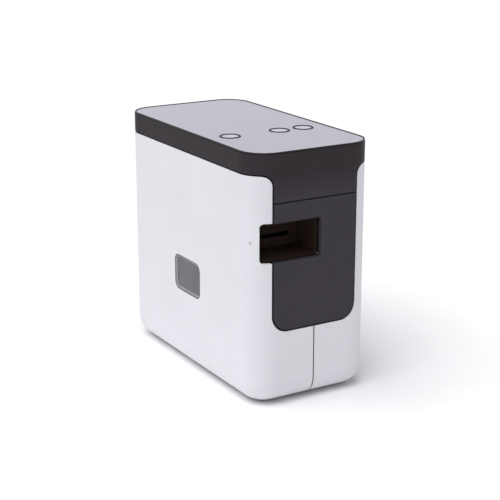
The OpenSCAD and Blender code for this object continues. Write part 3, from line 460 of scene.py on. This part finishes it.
slot_of = {row["node"]: row["material_slot"] for row in frame["record"]["subparts"]}
for node_name, obj in nodes.items():
    obj.data.materials.clear()
    obj.data.materials.append(looks[slot_of[node_name]])


# ---- trim that the CAD pieces leave plain ----

RIM_LOOK = moulded("rim_moulding", RIM_BLACK, 0.34, grain=0.10, gloss=0.35)
FRAME_LOOK = moulded("window_frame", srgb(74, 74, 78), 0.30, grain=0.06, gloss=0.4)
# The window bevel's pale tone is a painted highlight
BEVEL_HIGHLIGHT_LOOK = moulded("window_bevel", srgb(150, 150, 156), 0.24, grain=0.05, gloss=0.6)
GLOSS_LOOK = moulded("chute_fillet", srgb(40, 33, 31), 0.16, grain=0.03, gloss=1.0)
# Corners sharper than this keep a crease
SHARP_DEG = 35


def made(name, verts, faces, look, body="housing"):
    """A piece from corners in mm and faces, which rides on a body."""
    mesh = bpy.data.meshes.new(name)
    mesh.from_pydata([[c * MM for c in v] for v in verts], [], faces)
    mesh.polygons.foreach_set("use_smooth", [True] * len(mesh.polygons))
    mesh.set_sharp_from_angle(angle=math.radians(SHARP_DEG))
    mesh.materials.append(look)
    obj = bpy.data.objects.new(name, mesh)
    scene.collection.objects.link(obj)
    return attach(obj, body)


def rounded_outline(half_u, half_v, radius, steps):
    """Points of a rounded rectangle with their outward directions, anticlockwise."""
    points = []
    for quarter, (side_u, side_v) in enumerate(((1, 1), (-1, 1), (-1, -1), (1, -1))):
        centre_u, centre_v = side_u * (half_u - radius), side_v * (half_v - radius)
        for i in range(steps + 1):
            turn = math.radians(90 * (quarter + i / steps))
            nu, nv = math.cos(turn), math.sin(turn)
            points.append((centre_u + radius * nu, centre_v + radius * nv, nu, nv))
    return points


def circle_outline(radius, steps):
    """Points of a circle with their outward directions, anticlockwise."""
    turns = [2 * math.pi * i / steps for i in range(steps)]
    return [(radius * math.cos(t), radius * math.sin(t), math.cos(t), math.sin(t)) for t in turns]


def bead(name, outline, profile, place, look, body="housing"):
    """A closed ring: the profile, in steps outward and up, carried round the outline."""
    n, m = len(outline), len(profile)
    verts = [place(u + nu * out, v + nv * out, up) for u, v, nu, nv in outline for out, up in profile]
    faces = [(i * m + j, ((i + 1) % n) * m + j, ((i + 1) % n) * m + (j + 1) % m, i * m + (j + 1) % m)
        for i in range(n) for j in range(m)]
    return made(name, verts, faces, look, body)


def edge_of_cad(axis):
    """The far edge of the CAD model along an axis, in mm."""
    return round(cad_box[1][axis] / MM, 2)


HALF_W, HALF_D, CASE_H = (edge_of_cad(axis) for axis in range(3))
CORNER_R = 15.5

# The thin black rim that stands round the inlay, this far in from the case's sides
RIM_IN = 1.05
RIM_SECTION = ((0, -0.4), (0.85, -0.4), (0.85, 0.22), (0.70, 0.40), (0.12, 0.40), (0, 0.28))
bead("top_rim", rounded_outline(HALF_W - RIM_IN, HALF_D - RIM_IN, CORNER_R - RIM_IN, steps=16), RIM_SECTION,
    lambda u, v, up: (u, v, CASE_H + up), RIM_LOOK)

# A black ring round each button
BUTTON_X = {"power_ring": -24.2, "feed_ring": 7.8, "link_ring": 23.6}
BUTTON_Y = -26.0
RING_R = 5.02
RING_SECTION = ((0, -0.3), (0.92, -0.3), (0.92, 0.30), (0.80, 0.42), (0.12, 0.42), (0, 0.30))
for ring_name, x in BUTTON_X.items():
    bead(ring_name, circle_outline(RING_R, steps=64), RING_SECTION,
        lambda u, v, up, x=x: (x + u, BUTTON_Y + v, CASE_H + up), RIM_LOOK)

# The frame of the cassette window: a dark edge, and a bevel down to the pane whose pale tone is a painted
# highlight. FIT is its gap all round
WINDOW_Y, WINDOW_Z, WINDOW_W, WINDOW_H, WINDOW_R = -1.0, 57.4, 30.7, 21.4, 4.5
PANE_X = -38.0
FIT = 0.06
FRAME_SECTION = ((0, -0.3), (0, 0.74), (-0.08, 0.82), (-0.65, 0.82), (-0.65, -0.3))
BEVEL_SECTION = ((-0.66, -0.3), (-0.66, 0.76), (-1.70, 0.06), (-1.70, -0.3))
window_outline = rounded_outline(WINDOW_W / 2 - FIT, WINDOW_H / 2 - FIT, WINDOW_R - FIT, steps=12)
for piece_name, look, section in (
        ("window_frame", FRAME_LOOK, FRAME_SECTION),
        ("window_bevel", BEVEL_HIGHLIGHT_LOOK, BEVEL_SECTION)):
    bead(piece_name, window_outline, section,
        lambda u, v, up: (PANE_X - up, WINDOW_Y + u, WINDOW_Z + v), look, "cover")

# The rounded corner of the exit chute that catches the light, and how far it is let into floor and wall
CHUTE_FRONT, CHUTE_REAR = (3.0, -75.4, 83.45), (-2.5, -61.6, 87.4)
CHUTE_R = 1.5
LET_IN = 0.3


def fillet_strip(name, start, end, radius, look, steps=10):
    """A rounded inner corner along a line, between a floor below it and a wall to its right."""
    turns = [math.radians(90 * i / steps) for i in range(steps + 1)]
    section = [(radius * (math.sin(t) - 1), radius * (1 - math.cos(t))) for t in turns] + [(LET_IN, -LET_IN)]
    m = len(section)
    verts = [(at[0] + dx, at[1], at[2] + dz) for at in (start, end) for dx, dz in section]
    faces = [(j, (j + 1) % m, m + (j + 1) % m, m + j) for j in range(m)]
    faces += [tuple(reversed(range(m))), tuple(range(m, 2 * m))]
    return made(name, verts, faces, look)


fillet_strip("chute_fillet", CHUTE_FRONT, CHUTE_REAR, CHUTE_R, GLOSS_LOOK)


# ---- floor and light ----

def paper_surface(name):
    """The plain pale paper of the floor."""
    s = Surface(name, Roughness=0.9, Specular_IOR_Level=0.1)
    s.color(s.mixed(s.ranged(s.noise(60, detail=2), 0, 1), srgb(250, 250, 250), srgb(253, 253, 253)))
    return s.mat


# Half the floor's width, in metres
FLOOR = 4.0
floor_mesh = bpy.data.meshes.new("floor")
floor_mesh.from_pydata([(-FLOOR, -FLOOR, 0), (FLOOR, -FLOOR, 0), (FLOOR, FLOOR, 0), (-FLOOR, FLOOR, 0)],
    [], [(0, 1, 2, 3)])
floor_mesh.materials.append(paper_surface("floor"))
floor = bpy.data.objects.new("floor", floor_mesh)
scene.collection.objects.link(floor)

# The sky's light is faintly blue. What shows behind the object is plain white
SKY_TONE = (0.93, 0.95, 1.0, 1)
SKY_LIGHT = 0.36
world = bpy.data.worlds.new("world")
world.use_nodes = True
sky = world.node_tree
sky_light = sky.nodes["Background"]
sky_light.inputs[0].default_value = SKY_TONE
sky_light.inputs[1].default_value = SKY_LIGHT
backdrop = sky.nodes.new("ShaderNodeBackground")
backdrop.inputs[0].default_value = (1, 1, 1, 1)
chooser = sky.nodes.new("ShaderNodeMixShader")
rays = sky.nodes.new("ShaderNodeLightPath")
sky.links.new(rays.outputs["Is Camera Ray"], chooser.inputs[0])
sky.links.new(sky_light.outputs[0], chooser.inputs[1])
sky.links.new(backdrop.outputs[0], chooser.inputs[2])
sky.links.new(chooser.outputs[0], sky.nodes["World Output"].inputs[0])
scene.world = world

# Light from above and a little from the left: how much of it meets the left side, the front and the top
TO_LEFT, TO_FRONT, TO_TOP = 0.28, 0.055, 0.73
SUN_SPREAD_DEG = 55
sun_data = bpy.data.lights.new("sun", "SUN")
sun_data.energy = math.pi * math.hypot(TO_LEFT, TO_FRONT, TO_TOP)
sun_data.angle = math.radians(SUN_SPREAD_DEG)
sun = bpy.data.objects.new("sun", sun_data)
sun.rotation_euler = Vector((TO_LEFT, TO_FRONT, -TO_TOP)).to_track_quat("-Z", "Y").to_euler()
scene.collection.objects.link(sun)

scene.view_settings.view_transform = "Standard"
